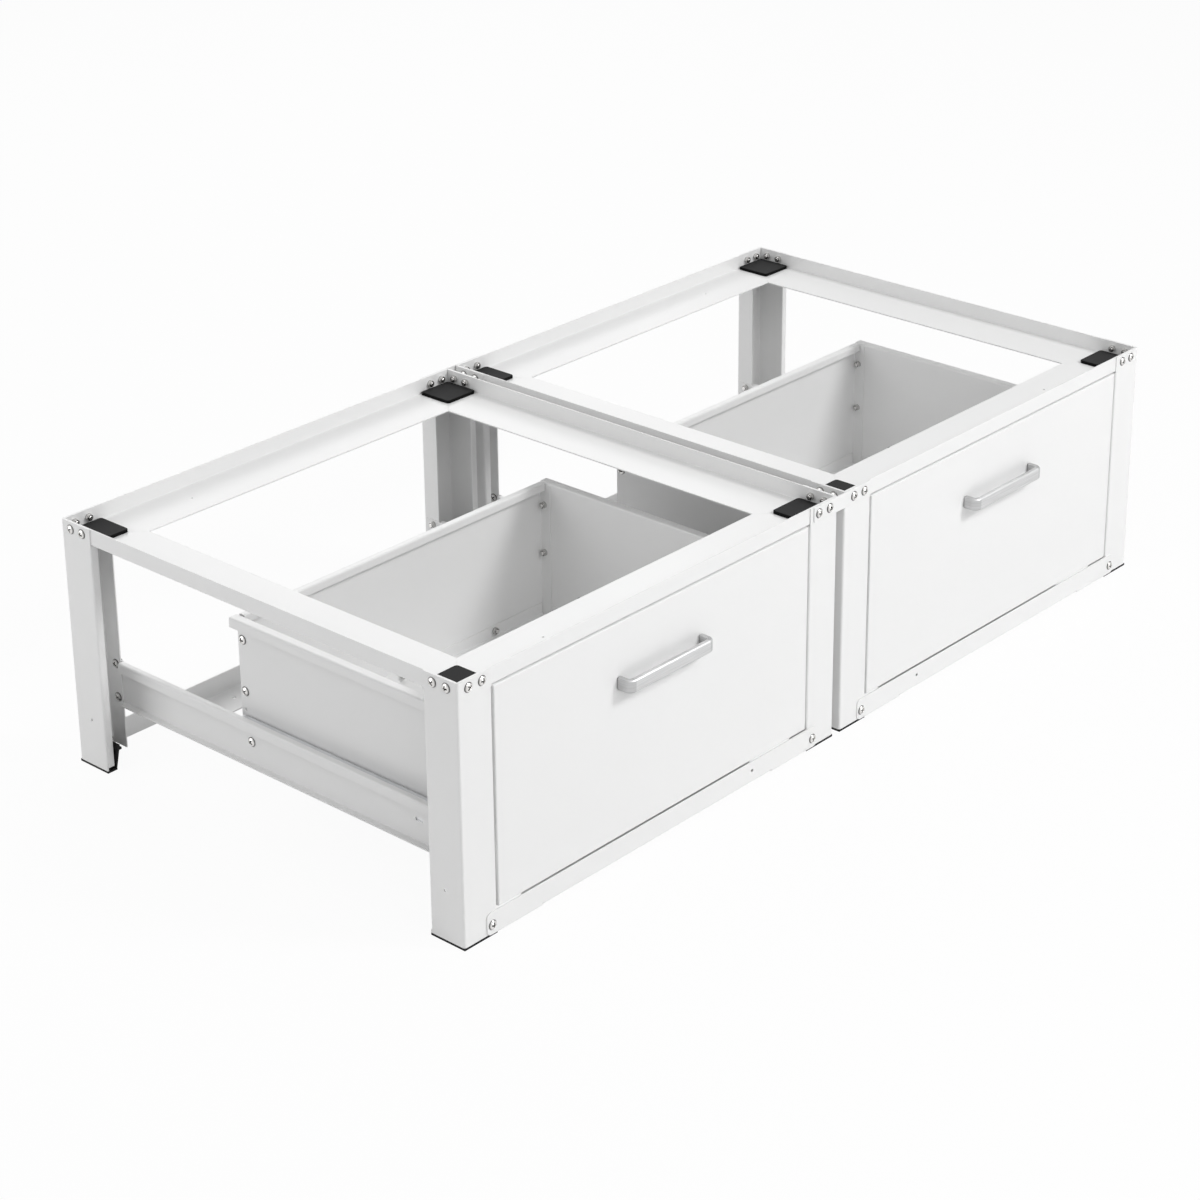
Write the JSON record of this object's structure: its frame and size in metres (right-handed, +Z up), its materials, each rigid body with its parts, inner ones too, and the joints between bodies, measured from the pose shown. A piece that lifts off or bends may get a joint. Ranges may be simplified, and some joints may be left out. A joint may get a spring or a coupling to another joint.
{
  "type": "washer pedestal drawer",
  "caption": "Double washer pedestal: joined white steel frames with rubber-padded shelves and pull-out drawers below.",
  "frame": {"origin": "on the floor, in the middle of the whole footprint from the handles to the rear screw heads", "axes": "+X to the right along the two units, +Y to the rear, +Z up; the drawers open along -Y"},
  "size_m": [1.28, 0.6596, 0.314],
  "materials": {
    "white_coat": "semi-gloss powder coat",
    "black_plastic": "matt",
    "black_rubber": "matt",
    "satin_aluminium": "satin",
    "nickel_steel": "polished",
    "zinc_steel": "zinc plated"
  },
  "bodies": {
    "frame": {"left_front_outer_leg": "white_coat", "left_front_inner_leg": "white_coat", "left_rear_outer_leg": "white_coat", "left_rear_inner_leg": "white_coat", "right_front_outer_leg": "white_coat", "right_front_inner_leg": "white_coat", "right_rear_outer_leg": "white_coat", "right_rear_inner_leg": "white_coat", "left_front_top_rail": "white_coat", "left_rear_top_rail": "white_coat", "left_outer_top_rail": "white_coat", "left_inner_top_rail": "white_coat", "right_front_top_rail": "white_coat", "right_rear_top_rail": "white_coat", "right_outer_top_rail": "white_coat", "right_inner_top_rail": "white_coat", "left_outer_side_rail": "white_coat", "left_inner_side_rail": "white_coat", "right_outer_side_rail": "white_coat", "right_inner_side_rail": "white_coat", "left_front_bottom_rail": "white_coat", "left_rear_bottom_rail": "white_coat", "right_front_bottom_rail": "white_coat", "right_rear_bottom_rail": "white_coat", "left_feet": "black_plastic", "right_feet": "black_plastic", "left_top_pads": "black_rubber", "right_top_pads": "black_rubber", "left_frame_screws": "nickel_steel", "right_frame_screws": "nickel_steel", "left_frame_nuts": "nickel_steel", "right_frame_nuts": "nickel_steel", "front_joining_plate": "white_coat", "rear_joining_plate": "white_coat", "left_slide_outer_members": "zinc_steel", "right_slide_outer_members": "zinc_steel"},
    "left_drawer": {"left_slide_inner_members": "zinc_steel", "left_drawer_front": "white_coat", "left_drawer_handle": "satin_aluminium", "left_drawer_outer_wall": "white_coat", "left_drawer_inner_wall": "white_coat", "left_drawer_rear_wall": "white_coat", "left_drawer_floor": "white_coat", "left_drawer_screws": "nickel_steel", "left_drawer_nuts": "nickel_steel"},
    "left_slide_middle": {"left_slide_middle_members": "zinc_steel"},
    "left_outer_cages": {"left_slide_outer_ball_cages": "zinc_steel"},
    "left_inner_cages": {"left_slide_inner_ball_cages": "zinc_steel"},
    "right_drawer": {"right_slide_inner_members": "zinc_steel", "right_drawer_front": "white_coat", "right_drawer_handle": "satin_aluminium", "right_drawer_outer_wall": "white_coat", "right_drawer_inner_wall": "white_coat", "right_drawer_rear_wall": "white_coat", "right_drawer_floor": "white_coat", "right_drawer_screws": "nickel_steel", "right_drawer_nuts": "nickel_steel"},
    "right_slide_middle": {"right_slide_middle_members": "zinc_steel"},
    "right_outer_cages": {"right_slide_outer_ball_cages": "zinc_steel"},
    "right_inner_cages": {"right_slide_inner_ball_cages": "zinc_steel"}
  },
  "joints": [
    {"name": "left_drawer_slide", "type": "slide", "parent": "frame", "child": "left_drawer", "axis": [0, -1, 0], "range_m": [0, 0.38]},
    {"name": "left_slide_middle_slide", "type": "slide", "parent": "frame", "child": "left_slide_middle", "axis": [0, -1, 0], "range_m": [0, 0.19]},
    {"name": "left_outer_cages_slide", "type": "slide", "parent": "frame", "child": "left_outer_cages", "axis": [0, -1, 0], "range_m": [0, 0.095]},
    {"name": "left_inner_cages_slide", "type": "slide", "parent": "frame", "child": "left_inner_cages", "axis": [0, -1, 0], "range_m": [0, 0.285]},
    {"name": "right_drawer_slide", "type": "slide", "parent": "frame", "child": "right_drawer", "axis": [0, -1, 0], "range_m": [0, 0.38]},
    {"name": "right_slide_middle_slide", "type": "slide", "parent": "frame", "child": "right_slide_middle", "axis": [0, -1, 0], "range_m": [0, 0.19]},
    {"name": "right_outer_cages_slide", "type": "slide", "parent": "frame", "child": "right_outer_cages", "axis": [0, -1, 0], "range_m": [0, 0.095]},
    {"name": "right_inner_cages_slide", "type": "slide", "parent": "frame", "child": "right_inner_cages", "axis": [0, -1, 0], "range_m": [0, 0.285]}
  ],
  "couplings": [
    {"joint": "left_slide_middle_slide", "follows": "left_drawer_slide", "ratio": 0.5},
    {"joint": "left_outer_cages_slide", "follows": "left_drawer_slide", "ratio": 0.25},
    {"joint": "left_inner_cages_slide", "follows": "left_drawer_slide", "ratio": 0.75},
    {"joint": "right_slide_middle_slide", "follows": "right_drawer_slide", "ratio": 0.5},
    {"joint": "right_outer_cages_slide", "follows": "right_drawer_slide", "ratio": 0.25},
    {"joint": "right_inner_cages_slide", "follows": "right_drawer_slide", "ratio": 0.75}
  ]
}
